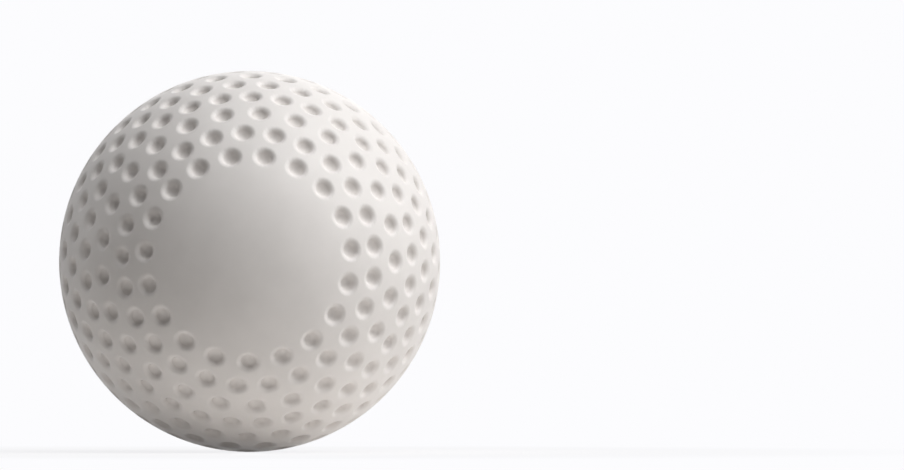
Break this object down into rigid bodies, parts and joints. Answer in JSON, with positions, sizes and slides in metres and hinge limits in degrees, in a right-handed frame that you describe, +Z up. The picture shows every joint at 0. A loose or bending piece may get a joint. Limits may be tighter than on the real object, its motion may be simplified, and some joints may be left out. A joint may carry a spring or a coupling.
{
  "type": "field hockey ball",
  "caption": "Hard moulded ball with rings of shallow round pits and a plain round panel at each pole, struck with curved sticks on grass or turf.",
  "frame": {"origin": "centre of the ball", "axes": "+Z up; the front panel faces -Y and the back panel +Y, on the Y axis; +X is to the right of someone facing the front panel"},
  "size_m": [0.073, 0.073, 0.073],
  "materials": {
    "moulded_plastic": "satin, moulded, off-white"
  },
  "bodies": {
    "root": {"ball": "moulded_plastic"}
  },
  "joints": []
}
